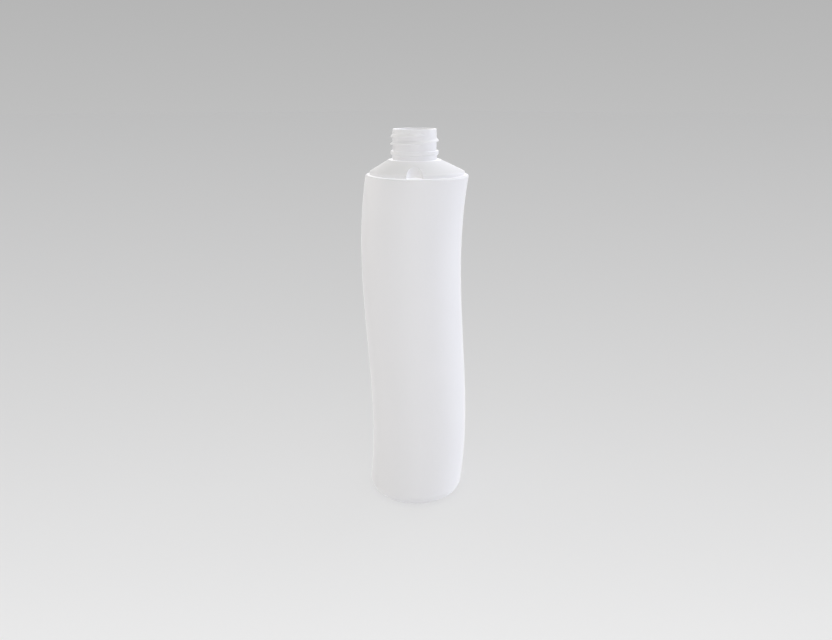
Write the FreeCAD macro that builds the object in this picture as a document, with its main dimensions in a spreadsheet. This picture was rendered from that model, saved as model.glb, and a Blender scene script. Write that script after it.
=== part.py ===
import FreeCAD, Part

import math
import os

import Sketcher

# A blow-moulded lotion bottle with a screw neck, in millimetres, +Z up.
# The origin is where the neck's axis meets the surface that the bottle stands on.
# -Y is the front, with the notch, and +X is the side that the shoulder leans to.
DIMENSIONS = {
    # Body: one oval, kept level and carried up a curved centre line.
    "body_width": (60.0, "side to side, outside"),
    "body_depth": (59.0, "front to back, outside"),
    "body_height": (205.4, "standing surface to the flat rim"),
    # The centre line is a cubic with four handles, evenly spaced in height, this far from the axis.
    "sway_foot": (-0.3, "handle at the foot"),
    "sway_belly": (10.2, "lower handle, which pulls the body to +X"),
    "sway_waist": (-9.6, "upper handle, which pulls the body to -X"),
    "sway_rim": (1.5, "handle at the rim"),
    "foot_rounding": (7.5, "radius round the foot"),
    "rim_rounding": (0.8, "radius round the outside of the rim"),
    # Shoulder: a low upright step inside the rim, then a straight cone to the neck.
    "rim_side": (2.4, "width of the flat rim at the sides"),
    "rim_front": (4.8, "width of the flat rim at front and back"),
    "step_height": (1.8, "upright step, from rim to cone"),
    "step_rounding": (0.6, "radius where step and cone meet"),
    "cone_height": (6.6, "cone, from step to neck seat"),
    "seat_width": (2.15, "flat seat round the root of the neck"),
    # Notch in step and cone that turns a cap or a filling head to the front.
    "notch_width": (7.8, "diameter of its rounded back"),
    "notch_flare": (16.0, "degrees that each side turns outwards to the front"),
    "notch_gap": (3.55, "from the neck's seat to the back of the notch"),
    # Neck: a 28 mm screw finish with a bead under the thread.
    "neck_height": (17.0, "seat to sealing land"),
    "neck_diameter": (25.24, "threaded wall"),
    "neck_wall": (1.72, "threaded wall to bore"),
    "root_stand": (0.28, "plain wall under the bead, proud of the threaded wall"),
    "lip_rounding": (0.3, "radius at the lip's outer edge"),
    "mouth_rounding": (0.5, "radius at the lip's inner edge"),
    "bead_stand": (1.18, "bead, proud of the threaded wall"),
    "bead_level": (5.05, "seat to the bead's flat top"),
    "bead_side": (1.8, "straight side of the bead"),
    "bead_taper": (0.85, "slope under the bead"),
    "bead_rounding": (0.25, "radius at the bead's top edge and where its slope meets the root"),
    # Thread: right-handed, one start, sloped above and nearly flat below.
    "thread_stand": (1.28, "crest, proud of the threaded wall"),
    "thread_pitch": (4.23, "rise in one turn"),
    "thread_turns": (1.5, "from end to end"),
    "thread_bearing": (-52.0, "where the upper end starts, from +X towards +Y"),
    "thread_drop": (2.75, "land to the middle of the crest, at the upper end"),
    "thread_crest": (0.4, "flat of the crest"),
    "thread_fade": (40.0, "turn in which each end sinks into the wall"),
    # Walls and base.
    "wall": (1.2, "body and shoulder"),
    "floor_thickness": (1.5, "base"),
    "ring_width": (3.0, "standing ring at its narrowest, foot rounding to the hollow inside it"),
    "dish_depth": (3.0, "rise of that hollow"),
    "dish_flat": (5.0, "diameter of its level middle, where the tube is pinched off"),
    "dish_rounding": (2.0, "radius where the hollow meets the standing ring"),
}
# Slopes of the thread's upper and lower flank, measured from level.
UPPER_FLANK = math.radians(45)
LOWER_FLANK = math.radians(12)
# How deep the ridge is rooted in the neck's wall, and how far its crest is sunk there at its ends.
RIDGE_ROOT = 0.6
RIDGE_SINK = 0.3
# How far a tool or a hidden end runs past the face that it has to cross.
OVERSHOOT = 2.0

RIM = "@body_height"
STEP = "@body_height + @step_height"
SEAT = "@body_height + @step_height + @cone_height"
SEAT_RADIUS = "(@neck_diameter / 2 + @root_stand + @seat_width)"
BORE = "(@neck_diameter - 2 * @neck_wall)"
DISH_RADIUS = "(min(@body_width; @body_depth) / 2 - @foot_rounding - @ring_width)"

doc = FreeCAD.newDocument("lotion_bottle")
sheet = doc.addObject("Spreadsheet::Sheet", "Dimensions")
for row, (name, (number, note)) in enumerate(DIMENSIONS.items(), start=1):
    sheet.set(f"A{row}", name)
    sheet.set(f"B{row}", str(number))
    sheet.set(f"C{row}", note)
    sheet.setAlias(f"B{row}", name)
doc.recompute()


def value(formula):
    """Number that a formula gives now; @name in a formula is a cell of the sheet."""
    return float(sheet.evalExpression(formula.replace("@", "Dimensions.")))


def bind(thing, path, formula):
    """Ties a property to a formula."""
    thing.setExpression(path, formula.replace("@", "Dimensions."))


def new_sketch(body, name, role, **offset):
    """Empty sketch on one of the body's own origin planes, moved by formulas for x, y or z."""
    sketch = body.newObject("Sketcher::SketchObject", name)
    planes = {plane.Role: plane for plane in body.Origin.OriginFeatures}
    sketch.AttachmentSupport = [(planes[role], "")]
    sketch.MapMode = "FlatFace"
    for axis, formula in offset.items():
        bind(sketch, f"AttachmentOffset.Base.{axis}", formula)
    return sketch


def add(body, kind, name, **settings):
    """Adds a feature to a body, with its faces left as built, because merged ones upset later cuts."""
    feature = body.newObject(f"PartDesign::{kind}", name)
    feature.Refine = False
    for setting, chosen in settings.items():
        setattr(feature, setting, chosen)
    return feature


def dimension(sketch, name, kind, points, formula):
    """Adds a dimension to a sketch at its present size and ties it to a formula."""
    index = sketch.addConstraint(Sketcher.Constraint(kind, *points, value(formula)))
    sketch.renameConstraint(index, name)
    bind(sketch, f"Constraints.{name}", formula)


def oval(body, name, width, depth, **offset):
    """Level oval about its sketch's origin, with its long axis along the larger size."""
    sketch = new_sketch(body, name, "XY_Plane", **offset)
    along_x = FreeCAD.Vector(value(width) / 2, 0, 0)
    along_y = FreeCAD.Vector(0, value(depth) / 2, 0)
    wide = along_x.Length >= along_y.Length
    long_end, short_end = (along_x, along_y) if wide else (along_y, along_x)
    sketch.addGeometry(Part.Ellipse(long_end, short_end, FreeCAD.Vector()), False)
    sketch.exposeInternalGeometry(0)
    sketch.addConstraint(Sketcher.Constraint("Coincident", 0, 3, -1, 1))
    sketch.addConstraint(Sketcher.Constraint("Horizontal" if wide else "Vertical", 1))
    dimension(sketch, "long_axis", "Distance", (1,), width if wide else depth)
    dimension(sketch, "short_axis", "Distance", (2,), depth if wide else width)
    return sketch


def disc(body, name, diameter, **offset):
    """Level circle about its sketch's origin."""
    sketch = new_sketch(body, name, "XY_Plane", **offset)
    circle = Part.Circle(FreeCAD.Vector(), FreeCAD.Vector(0, 0, 1), value(diameter) / 2)
    sketch.addGeometry(circle, False)
    sketch.addConstraint(Sketcher.Constraint("Coincident", 0, 3, -1, 1))
    dimension(sketch, "diameter", "Diameter", (0,), diameter)
    return sketch


def slot(body, name, width, length, **offset):
    """Open-fronted outline: a round back about the sketch's origin, and sides flaring to -Y."""
    sketch = new_sketch(body, name, "XY_Plane", **offset)
    front = f"({width}) / 2 / cos(@notch_flare) + ({length}) * tan(@notch_flare)"
    radius = value(width) / 2
    flare = math.radians(value("@notch_flare"))
    side, back = radius * math.cos(flare), radius * math.sin(flare)
    corner, end = value(front), -value(length)
    circle = Part.Circle(FreeCAD.Vector(), FreeCAD.Vector(0, 0, 1), radius)
    corners = [(-side, back), (-corner, end), (corner, end), (side, back)]
    corners = [FreeCAD.Vector(x, y, 0) for x, y in corners]
    sketch.addGeometry(Part.ArcOfCircle(circle, flare, math.pi - flare), False)
    for start, stop in zip(corners, corners[1:]):
        sketch.addGeometry(Part.LineSegment(start, stop), False)
    sketch.addConstraint(Sketcher.Constraint("Coincident", 0, 3, -1, 1))
    sketch.addConstraint(Sketcher.Constraint("Tangent", 0, 2, 1, 1))
    sketch.addConstraint(Sketcher.Constraint("Coincident", 1, 2, 2, 1))
    sketch.addConstraint(Sketcher.Constraint("Coincident", 2, 2, 3, 1))
    sketch.addConstraint(Sketcher.Constraint("Tangent", 3, 2, 0, 1))
    sketch.addConstraint(Sketcher.Constraint("Symmetric", 1, 2, 3, 1, -2))
    dimension(sketch, "radius", "Radius", (0,), f"({width}) / 2")
    dimension(sketch, "front", "DistanceX", (-1, 1, 3, 1), front)
    dimension(sketch, "length", "DistanceY", (-1, 1, 3, 1), f"-({length})")
    return sketch


def outline(sketch, corners):
    """Closed outline of straight sides; each corner is a pair of formulas, x and y."""
    points = [FreeCAD.Vector(value(x), value(y), 0) for x, y in corners]
    count = len(points)
    for side in range(count):
        sketch.addGeometry(Part.LineSegment(points[side], points[(side + 1) % count]), False)
    for side in range(count):
        sketch.addConstraint(Sketcher.Constraint("Coincident", side, 2, (side + 1) % count, 1))
    for side, (x, y) in enumerate(corners):
        if x == "0":
            sketch.addConstraint(Sketcher.Constraint("PointOnObject", side, 1, -2))
        else:
            dimension(sketch, f"x{side}", "DistanceX", (-1, 1, side, 1), x)
        dimension(sketch, f"y{side}", "DistanceY", (-1, 1, side, 1), y)
    return sketch


def centre_line(body):
    """Curve that the body's section follows, a single cubic with evenly spaced handles."""
    sketch = new_sketch(body, body.Name + "_centre_line", "XZ_Plane")
    handles = [
        ("@sway_foot", "0"),
        ("@sway_belly", "@body_height / 3"),
        ("@sway_waist", "@body_height * 2 / 3"),
        ("@sway_rim", "@body_height"),
    ]
    points = [FreeCAD.Vector(value(x), value(y), 0) for x, y in handles]
    curve = Part.BSplineCurve()
    curve.buildFromPolesMultsKnots(points, [4, 4], [0, 1], False, 3)
    sketch.addGeometry(curve, False)
    sketch.exposeInternalGeometry(0)
    for handle, (x, y) in enumerate(handles, start=1):
        dimension(sketch, f"x{handle}", "DistanceX", (-1, 1, handle, 3), x)
        dimension(sketch, f"y{handle}", "DistanceY", (-1, 1, handle, 3), y)
    return sketch


def sweep(body, inset):
    """The oval carried up the centre line, smaller by an inset all round."""
    name = body.Name + "_section"
    width = f"@body_width - 2 * ({inset})"
    depth = f"@body_depth - 2 * ({inset})"
    section = oval(body, name, width, depth, x="@sway_foot")
    spine = centre_line(body)
    return add(body, "AdditivePipe", body.Name + "_sweep", Profile=section, Spine=spine, Mode="Fixed")


def loft(body, name, sections):
    """Straight-sided loft through level sections."""
    return add(body, "AdditiveLoft", name, Profile=sections[0], Sections=sections[1:], Ruled=True)


def cut(body, kind, name, sketch, **settings):
    """Pocket or groove that has to take material away."""
    doc.recompute()
    before = body.Shape.Volume
    feature = add(body, kind, name, Profile=sketch, **settings)
    doc.recompute()
    if not body.Shape.Volume < before - 1:
        raise ValueError(f"{name} cuts nothing")
    return feature


def level_edges(shape, height):
    """Names of the edges that lie level at a height."""
    names = []
    for index, edge in enumerate(shape.Edges, start=1):
        box = edge.BoundBox
        if box.ZLength < 0.001 and abs(box.ZMin - height) < 0.001:
            names.append(f"Edge{index}")
    return names


def fillet(body, name, height, pick, radius):
    """Rounds a level edge and its smooth run; pick chooses it by length among those at the height."""
    doc.recompute()
    base = body.Tip
    edges = level_edges(base.Shape, value(height))
    edges.sort(key=lambda edge: base.Shape.getElement(edge).Length)
    feature = add(body, "Fillet", name, Base=(base, [edges[pick]]))
    bind(feature, "Radius", radius)
    return feature


def combine(body, kind, name, others):
    """Joins other solids to a body, or cuts them from it, and makes sure that it did."""
    doc.recompute()
    before = body.Shape.Volume
    feature = add(body, "Boolean", name, Type=kind)
    feature.setObjects(others)
    doc.recompute()
    gained = body.Shape.Volume - before
    if len(body.Shape.Solids) != 1 or (gained > 0) != (kind == "Fuse"):
        raise ValueError(f"{name} did not take")


def dish(body, name, bottom, half_chord, rise):
    """Shallow dome with a level middle, cut up into a level face about the foot's centre."""
    sketch = new_sketch(body, name + "_profile", "XZ_Plane", x="@sway_foot", y=bottom)
    chord = value(half_chord)
    height = value(rise)
    flat = value("@dish_flat / 2")
    radius = ((chord - flat) ** 2 + height**2) / (2 * height)
    circle = Part.Circle(FreeCAD.Vector(flat, height - radius, 0), FreeCAD.Vector(0, 0, 1), radius)
    edge = math.acos((chord - flat) / radius)
    shore = FreeCAD.Vector(flat, height, 0)
    middle = FreeCAD.Vector(0, height, 0)
    sketch.addGeometry(Part.LineSegment(FreeCAD.Vector(), FreeCAD.Vector(chord, 0, 0)), False)
    sketch.addGeometry(Part.ArcOfCircle(circle, edge, math.pi / 2), False)
    sketch.addGeometry(Part.LineSegment(shore, middle), False)
    sketch.addGeometry(Part.LineSegment(middle, FreeCAD.Vector()), False)
    sketch.addConstraint(Sketcher.Constraint("Coincident", 0, 1, -1, 1))
    sketch.addConstraint(Sketcher.Constraint("Horizontal", 0))
    sketch.addConstraint(Sketcher.Constraint("Coincident", 0, 2, 1, 1))
    sketch.addConstraint(Sketcher.Constraint("Coincident", 1, 2, 2, 1))
    sketch.addConstraint(Sketcher.Constraint("Coincident", 2, 2, 3, 1))
    sketch.addConstraint(Sketcher.Constraint("Coincident", 3, 2, 0, 1))
    sketch.addConstraint(Sketcher.Constraint("Horizontal", 2))
    sketch.addConstraint(Sketcher.Constraint("Vertical", 3))
    sketch.addConstraint(Sketcher.Constraint("Vertical", 1, 3, 1, 2))
    dimension(sketch, "half_chord", "Distance", (0,), half_chord)
    dimension(sketch, "flat", "Distance", (2,), "@dish_flat / 2")
    dimension(sketch, "rise", "Distance", (3,), rise)
    return cut(body, "Groove", name, sketch, ReferenceAxis=(sketch, ["V_Axis"]), Angle=360)


def notch(body, name, grow, bottom):
    """Upright notch in step and cone; grow is the wall that the hollow leaves round it."""
    back = f"{SEAT_RADIUS} + @notch_gap - ({grow})"
    width = f"@notch_width + 2 * ({grow})"
    axis = f"{back} + ({width}) / 2"
    length = f"@body_depth / 2 + {OVERSHOOT} - ({axis})"
    sketch = slot(body, name + "_outline", width, length, y=f"-({axis})", z=bottom)
    return cut(body, "Pocket", name, sketch, Type="ThroughAll", Reversed=True)


def neck():
    """Neck with its bead, turned about the axis as a filled solid from inside the cone."""
    body = doc.addObject("PartDesign::Body", "neck")
    wall = "@neck_diameter / 2"
    root = f"{wall} + @root_stand"
    bead = f"{wall} + @bead_stand"
    corners = [
        ("0", f"-{OVERSHOOT}"),
        (root, f"-{OVERSHOOT}"),
        (root, "@bead_level - @bead_side - @bead_taper"),
        (bead, "@bead_level - @bead_side"),
        (bead, "@bead_level"),
        (wall, "@bead_level"),
        (wall, "@neck_height"),
        ("0", "@neck_height"),
    ]
    sketch = outline(new_sketch(body, "neck_profile", "XZ_Plane", y=SEAT), corners)
    axis = (sketch, ["V_Axis"])
    add(body, "Revolution", "turned_neck", Profile=sketch, ReferenceAxis=axis, Angle=360)
    fillet(body, "round_lip", f"{SEAT} + @neck_height", -1, "@lip_rounding")
    fillet(body, "round_bead", f"{SEAT} + @bead_level", -1, "@bead_rounding")
    fillet(body, "ease_bead", f"{SEAT} + @bead_level - @bead_side - @bead_taper", -1, "@bead_rounding")
    return body


def outer_form():
    """Body and shoulder, as one filled solid up to the neck's seat."""
    body = doc.addObject("PartDesign::Body", "outer_form")
    sweep(body, "0")
    step_width = "@body_width - 2 * @rim_side"
    step_depth = "@body_depth - 2 * @rim_front"
    sections = [
        oval(body, "step_foot", step_width, step_depth, x="@sway_rim", z=RIM),
        oval(body, "step_top", step_width, step_depth, x="@sway_rim", z=STEP),
        disc(body, "seat", f"2 * {SEAT_RADIUS}", z=SEAT),
    ]
    loft(body, "shoulder", sections)
    fillet(body, "round_foot", "0", -1, "@foot_rounding")
    fillet(body, "round_rim", RIM, -1, "@rim_rounding")
    fillet(body, "round_step", STEP, -1, "@step_rounding")
    notch(body, "notch", "0", RIM)
    dish(body, "dish", "0", DISH_RADIUS, "@dish_depth")
    fillet(body, "round_dish", "0", 0, "@dish_rounding")
    return body


def hollow_form():
    """The space inside, as one filled solid, from the floor out through the mouth."""
    body = doc.addObject("PartDesign::Body", "hollow_form")
    sweep(body, "@wall")
    ceiling = f"{RIM} - @wall"
    size = "@body_width + @body_depth + 10 * abs(@sway_belly) + 10 * abs(@sway_waist)"
    below = disc(body, "under_floor", size, z="@floor_thickness")
    cut(body, "Pocket", "floor", below, Type="ThroughAll")
    above = disc(body, "over_ceiling", size, z=ceiling)
    cut(body, "Pocket", "ceiling", above, Type="ThroughAll", Reversed=True)
    step_width = "@body_width - 2 * @rim_side - 2 * @wall"
    step_depth = "@body_depth - 2 * @rim_front - 2 * @wall"
    sections = [
        oval(body, "inner_foot", step_width, step_depth, x="@sway_rim", z=ceiling),
        oval(body, "inner_top", step_width, step_depth, x="@sway_rim", z=f"{STEP} - @wall / 2"),
        disc(body, "throat", BORE, z=SEAT),
    ]
    loft(body, "inner_shoulder", sections)
    bore = add(body, "Pad", "bore", Profile=disc(body, "bore_outline", BORE, z=SEAT))
    bind(bore, "Length", f"@neck_height + {OVERSHOOT}")
    fillet(body, "round_floor", "@floor_thickness", -1, "@foot_rounding - @wall")
    notch(body, "notch_wall", "@wall", ceiling)
    slope = f"sqrt(pow({DISH_RADIUS} - @dish_flat / 2; 2) + 2 * @dish_depth * @floor_thickness)"
    half_chord = f"@dish_flat / 2 + {slope}"
    dish(body, "floor_dome", "@floor_thickness", half_chord, "@dish_depth")
    return body


def ridge_edge(first, last, outward, up):
    """One long edge of the thread between two angles, offset outwards and up from its root."""
    whole = 2 * math.pi * value("@thread_turns")
    start = math.radians(value("@thread_bearing"))
    fade = math.radians(value("@thread_fade"))
    top = value(f"{SEAT} + @neck_height - @thread_drop")
    root = value("@neck_diameter / 2") - RIDGE_ROOT
    sink = value("@thread_stand") + RIDGE_SINK
    steps = max(3, round(math.degrees(last - first) / 9))
    points = []
    for step in range(steps + 1):
        turn = first + (last - first) * step / steps
        fullness = min(1, min(turn, whole - turn) / fade)
        sunk = 1 - fullness**2 * (3 - 2 * fullness)
        radius = root - sink * sunk + outward
        level = top - value("@thread_pitch") * turn / (2 * math.pi) + up
        angle = start - turn
        points.append(FreeCAD.Vector(radius * math.cos(angle), radius * math.sin(angle), level))
    curve = Part.BSplineCurve()
    curve.interpolate(points)
    return curve.toShape()


def ridge(first, last):
    """A length of the thread's ridge between two angles, with its root inside the wall."""
    height = value("@thread_stand") + RIDGE_ROOT
    half_crest = value("@thread_crest / 2")
    corners = [
        (0, half_crest + height * math.tan(UPPER_FLANK)),
        (height, half_crest),
        (height, -half_crest),
        (0, -half_crest - height * math.tan(LOWER_FLANK)),
    ]
    edges = [ridge_edge(first, last, outward, up) for outward, up in corners]
    faces = [Part.makeRuledSurface(edges[side - 1], edges[side]) for side in range(4)]
    for end in (0, -1):
        points = [edge.Vertexes[end].Point for edge in edges]
        faces.append(Part.Face(Part.makePolygon(points + points[:1])))
    shell = Part.makeShell(faces)
    shell.sewShape()
    solid = Part.makeSolid(shell)
    if solid.Volume < 0:
        solid.reverse()
    return solid


def threaded_neck():
    """Neck with its thread, which is laid on in lengths of at most a third of a turn."""
    body = neck()
    turns = value("@thread_turns")
    lengths = math.ceil(3 * turns)
    angles = [2 * math.pi * turns * index / lengths for index in range(lengths + 1)]
    pieces = []
    for index in range(lengths):
        piece = doc.addObject("Part::Feature", f"thread_{index + 1}")
        piece.Shape = ridge(angles[index], angles[index + 1])
        pieces.append(piece)
    combine(body, "Fuse", "thread", pieces)
    return body


def bottle():
    """The whole moulding: outside, neck and thread in one, less the hollow."""
    body = outer_form()
    combine(body, "Fuse", "neck_on", [threaded_neck()])
    combine(body, "Cut", "hollowed", [hollow_form()])
    fillet(body, "round_mouth", f"{SEAT} + @neck_height", 0, "@mouth_rounding")
    body.Label = "bottle"
    body.Placement = FreeCAD.Placement()
    doc.recompute()
    return body


def check(part):
    """Stops on a failed feature, or on a shape that isn't one sound solid."""
    for thing in doc.Objects:
        if "Invalid" in thing.State or "Error" in thing.State:
            raise ValueError(f"{thing.Name} failed: {thing.State}")
    shape = part.Shape
    if shape.isNull() or not shape.isValid() or len(shape.Solids) != 1:
        raise ValueError(f"{part.Label} isn't one sound solid")


part = bottle()
check(part)
os.makedirs("parts", exist_ok=True)
part.Shape.exportStep(f"parts/{part.Label}.step")
box = part.Shape.optimalBoundingBox()
print(f"{part.Label}: {box.XLength:.2f} x {box.YLength:.2f} x {box.ZLength:.2f} mm")
print(f"volume {part.Shape.Volume / 1000:.2f} ml, faces {len(part.Shape.Faces)}")
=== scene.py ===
import math

import bpy
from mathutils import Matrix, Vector


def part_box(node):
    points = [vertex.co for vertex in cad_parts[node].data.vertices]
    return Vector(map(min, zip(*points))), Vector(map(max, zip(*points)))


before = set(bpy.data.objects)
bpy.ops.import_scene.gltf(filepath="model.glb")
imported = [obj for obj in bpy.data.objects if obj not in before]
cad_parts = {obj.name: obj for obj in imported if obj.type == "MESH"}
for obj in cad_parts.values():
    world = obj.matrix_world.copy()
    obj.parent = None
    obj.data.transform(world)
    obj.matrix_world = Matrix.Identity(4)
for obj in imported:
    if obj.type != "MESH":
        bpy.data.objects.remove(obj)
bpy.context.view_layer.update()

# The bottle: one blow-moulded piece of white high-density polyethylene, from the pushed-up
# base to the open screw neck. A blasted mould gives the body its satin skin, and the neck,
# which is pressed against polished steel while it is hot, comes out a little glossier.
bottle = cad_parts["bottle"]
foot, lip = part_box("bottle")

plastic = bpy.data.materials.new("white_polyethylene")
plastic.use_nodes = True
tree = plastic.node_tree
shader = tree.nodes["Principled BSDF"]
shader.inputs["IOR"].default_value = 1.54
# the blasted skin scatters light softly at its edges
shader.inputs["Sheen Weight"].default_value = 1.0
shader.inputs["Sheen Roughness"].default_value = 0.38


def add(tree, kind, name, **settings):
    made = tree.nodes.new(kind)
    made.name = made.label = name
    for key, value in settings.items():
        setattr(made, key, value)
    return made


def wire(tree, source, target, output=0, socket=0):
    tree.links.new(source.outputs[output], target.inputs[socket])


def noise(tree, name, place, size, detail, output="Object"):
    """A soft cloud whose blotches are about `size` metres across."""
    made = add(tree, "ShaderNodeTexNoise", name)
    made.inputs["Scale"].default_value = 1 / size
    made.inputs["Detail"].default_value = detail
    wire(tree, place, made, output, "Vector")
    return made


def ramp(tree, name, source, low, high, output_low=0.0, output_high=1.0, output=0,
         kind="SMOOTHSTEP"):
    """Turns `low` to `high` of a value into `output_low` to `output_high`."""
    made = add(tree, "ShaderNodeMapRange", name, interpolation_type=kind)
    for socket, value in zip(("From Min", "From Max", "To Min", "To Max"),
                             (low, high, output_low, output_high)):
        made.inputs[socket].default_value = value
    wire(tree, source, made, output, "Value")
    return made


def maths(tree, name, operation, first, second=None, first_output=0, second_output=0):
    """One sum on two sources, each a node or a plain number."""
    made = add(tree, "ShaderNodeMath", name, operation=operation)
    for socket, (source, output) in enumerate(((first, first_output), (second, second_output))):
        if isinstance(source, (int, float)):
            made.inputs[socket].default_value = source
        elif source is not None:
            wire(tree, source, made, output, socket)
    return made


place = add(tree, "ShaderNodeTexCoord", "place on the bottle")
split = add(tree, "ShaderNodeSeparateXYZ", "across, deep and up")
wire(tree, place, split, "Object")

# colour: thin places of the wall let a little light through, so they look faintly greyer
THIN_WALL, THICK_WALL = (0.790, 0.790, 0.795, 1), (0.810, 0.810, 0.815, 1)
cloud = noise(tree, "wall thickness", place, 0.028, 1.0)
tint = add(tree, "ShaderNodeMix", "thin or thick wall", data_type="RGBA")
tint.inputs["A"].default_value = THIN_WALL
tint.inputs["B"].default_value = THICK_WALL
wire(tree, cloud, tint, "Fac", "Factor")
tree.links.new(tint.outputs["Result"], shader.inputs["Base Color"])

# roughness: satin body with upright die lines, glossier neck, dull where the foot has stood
SATIN = (0.44, 0.50)
NECK_GLOSS, FOOT_WEAR = -0.12, 0.15
NECK_START, NECK_FULL = lip.z - 0.0254, lip.z - 0.0163
WORN_HEIGHT = 0.0035
neck = ramp(tree, "pressed neck", split, NECK_START, NECK_FULL, output="Z")
rubbed = ramp(tree, "rubbed foot", split, foot.z + WORN_HEIGHT, foot.z, output="Z")
drawn = add(tree, "ShaderNodeVectorMath", "drawn upward", operation="MULTIPLY")
drawn.inputs[1].default_value = (1.0, 1.0, 0.02)
wire(tree, place, drawn, "Object")
die = noise(tree, "die lines", drawn, 0.0022, 3.0, "Vector")
satin = ramp(tree, "satin", die, 0.3, 0.7, *SATIN, "Fac")
glossier = maths(tree, "glossier neck", "MULTIPLY", neck, NECK_GLOSS)
duller = maths(tree, "duller foot", "MULTIPLY", rubbed, FOOT_WEAR)
change = maths(tree, "change of gloss", "ADD", glossier, duller)
gloss = maths(tree, "finished roughness", "ADD", satin, change)
wire(tree, gloss, shader, socket="Roughness")

# relief: the blasted mould's grain, and the slow waves of a blown wall
GRAIN_HEIGHT, WAVE_HEIGHT = 0.000008, 0.00012
grain = noise(tree, "mould grain", place, 0.00045, 2.0)
waves = noise(tree, "blown waves", place, 0.022, 0.0)
relief_grain = maths(tree, "grain height", "MULTIPLY", grain, GRAIN_HEIGHT, "Fac")
relief_waves = maths(tree, "wave height", "MULTIPLY", waves, WAVE_HEIGHT, "Fac")
relief = maths(tree, "relief", "ADD", relief_grain, relief_waves)
bump = add(tree, "ShaderNodeBump", "relief of the skin")
bump.inputs["Strength"].default_value = 1.0
bump.inputs["Distance"].default_value = 1.0
wire(tree, relief, bump, socket="Height")
wire(tree, bump, shader, socket="Normal")

bottle.data.materials.clear()
bottle.data.materials.append(plastic)

# The paper it stands on: one wide round sheet with a painted pool of light in its colour, near
# white in front of the bottle and greyer with distance, so it meets the room without a line.
PAPER_RADIUS = 9.0
floor_mesh = bpy.data.meshes.new("paper")
rim = [(PAPER_RADIUS * math.cos(math.radians(turn)), PAPER_RADIUS * math.sin(math.radians(turn)), 0)
       for turn in range(0, 360, 3)]
floor_mesh.from_pydata(rim, [], [tuple(range(len(rim)))])
floor = bpy.data.objects.new("paper", floor_mesh)
bpy.context.scene.collection.objects.link(floor)
paper = bpy.data.materials.new("paper_with_painted_light")
paper.use_nodes = True
tree = paper.node_tree
sheet = tree.nodes["Principled BSDF"]
sheet.inputs["Roughness"].default_value = 0.9
sheet.inputs["Specular IOR Level"].default_value = 0.0
place = add(tree, "ShaderNodeTexCoord", "place on the paper")
split = add(tree, "ShaderNodeSeparateXYZ", "across and deep")
wire(tree, place, split, "Object")
# painted light: the pool is palest on a strip PALEST ahead of the neck's axis, EVEN to each side is
# all one shade, and the painted light falls off with 1 / distance: all of it behind, half before, a
# quarter sideways
PALEST, EVEN, EVEN_BLEND, SHADE_RANGE = 0.489, 0.30, 0.08, 3.4
behind = maths(tree, "metres behind the palest strip", "ADD", split, PALEST, "Y")
before = maths(tree, "half the metres before it", "MULTIPLY", behind, -0.5)
deep = maths(tree, "metres off it, front or back", "MAXIMUM", behind, before)
deep = maths(tree, "softened strip", "SMOOTH_MAX", deep, EVEN)
deep.inputs[2].default_value = EVEN_BLEND
sideways = maths(tree, "a quarter of the metres sideways", "MULTIPLY", split, 0.25, "X")
deep_squared = maths(tree, "off it, squared", "MULTIPLY", deep, deep)
sideways_squared = maths(tree, "sideways, squared", "MULTIPLY", sideways, sideways)
both_squared = maths(tree, "both, squared", "ADD", deep_squared, sideways_squared)
near = maths(tree, "nearness", "INVERSE_SQRT", both_squared)
lit = ramp(tree, "from far to near", near, 0.0, SHADE_RANGE, kind="LINEAR")


def painted_light_pool(name, far, near, shader, socket):
    """The sheet's painted pool of light, grey from its far to its near shade, wired to a shader's
    colour.
    """
    grey = add(tree, "ShaderNodeMix", name, data_type="RGBA")
    grey.inputs["A"].default_value = (far, far, far, 1)
    grey.inputs["B"].default_value = (near, near, near, 1)
    wire(tree, lit, grey, "Result", "Factor")
    tree.links.new(grey.outputs["Result"], shader.inputs[socket])


# the lamps and the room give the sheet LIGHT; for the camera, mirrors and glass most of it is a
# painted glow of the pool of light instead, so the shadow on it stays faint
FAR, NEAR, LIGHT, PAINTED_GLOW_SHARE = 0.508, 0.893, 0.95, 0.7
# painted light: the sheet's colour carries the pool of light, divided by LIGHT so it renders at the
# painted shade
painted_light_pool("painted pool of light", FAR / LIGHT, NEAR / LIGHT, sheet, "Base Color")
# painted light: an emission that makes the paper glow at its painted shade, though it is no lamp
glow = add(tree, "ShaderNodeEmission", "painted glow")
painted_light_pool("painted light as glow", FAR, NEAR, glow, "Color")
ray = add(tree, "ShaderNodeLightPath", "who looks")
mirror = maths(tree, "camera or mirror", "MAXIMUM", ray, ray, "Is Camera Ray", "Is Glossy Ray")
through = maths(tree, "or through glass", "MAXIMUM", mirror, ray,
                second_output="Is Transmission Ray")
share = maths(tree, "share of the painted glow", "MULTIPLY", through, PAINTED_GLOW_SHARE)
both = add(tree, "ShaderNodeMixShader", "paper and its shade")
wire(tree, share, both)
wire(tree, sheet, both, socket=1)
wire(tree, glow, both, socket=2)
wire(tree, both, tree.nodes["Material Output"])
floor.data.materials.append(paper)

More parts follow.
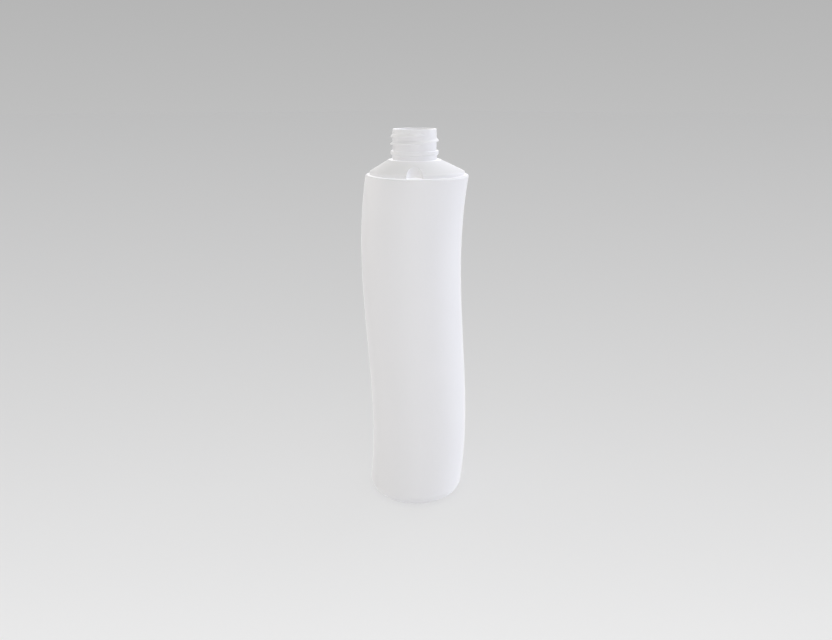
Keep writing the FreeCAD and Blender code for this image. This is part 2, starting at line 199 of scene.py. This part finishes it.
# The room: a pale dome of matt studio wall, lit as evenly as the sheet. It meets the far paper
# at the horizon in the same grey and is a shade darker overhead.
HORIZON_FROM, HORIZON_TO = -0.028, 0.12
HORIZON_GREY, OVERHEAD_GREY = 0.5196, 0.462
room = bpy.data.worlds.new("room")
bpy.context.scene.world = room
room.use_nodes = True
tree = room.node_tree
toward = add(tree, "ShaderNodeTexCoord", "direction")
height = add(tree, "ShaderNodeSeparateXYZ", "height over the horizon")
wire(tree, toward, height, "Generated")
dome = ramp(tree, "dome", height, HORIZON_FROM, HORIZON_TO, HORIZON_GREY, OVERHEAD_GREY,
            output="Z", kind="LINEAR")
wire(tree, dome, tree.nodes["Background"], "Result", "Color")


# The lamps: wide soft boxes all round, the strongest on the right. The one overhead draws the
# soft shadow on the paper; the others only fill in.
def lamp(name, azimuth, elevation, spread, strength, colour=(1, 1, 1), shadow=False):
    """A soft box. Azimuth 0 is the front and 90 the right; angles are in degrees."""
    data = bpy.data.lights.new(name, "SUN")
    data.energy, data.color, data.angle = strength * math.pi, colour, math.radians(spread)
    data.use_shadow = shadow
    made = bpy.data.objects.new(name, data)
    bpy.context.scene.collection.objects.link(made)
    a, e = math.radians(azimuth), math.radians(elevation)
    toward = Vector((math.cos(e) * math.sin(a), -math.cos(e) * math.cos(a), math.sin(e)))
    made.rotation_euler = toward.to_track_quat("Z", "Y").to_euler()


lamp("right", 111, 22, 35, 0.46, (0.79, 0.81, 0.93))
lamp("cool right front", 58, 6, 40, 0.055, (0.1, 0.3, 1.0))
lamp("front", 8, 6, 50, 0.267, (0.98, 0.94, 0.93))
lamp("left", -110, 9, 30, 0.17, (1.0, 0.91, 0.86))
lamp("behind", 180, 5, 15, 0.08)
lamp("right behind", 137, 18, 60, 0.20, (0.98, 0.97, 1.0))
lamp("left behind", -140, 13, 60, 0.12, (0.94, 0.95, 1.0))
lamp("overhead", 0, 80, 35, 0.15, (1.0, 1.0, 0.88), shadow=True)

# The camera: an ordinary wide lens on a stand in front of the bottle, a little above its mouth
# and tilted down.
camera_data = bpy.data.cameras.new("camera")
camera_data.lens = 29.70
camera_data.sensor_width = 36
camera = bpy.data.objects.new("camera", camera_data)
camera.location = (0.0008, -0.4052, 0.2511)
camera.rotation_euler = (math.radians(71.56), 0, 0)
bpy.context.scene.collection.objects.link(camera)
bpy.context.scene.camera = camera
bpy.context.scene.view_settings.view_transform = "Standard"
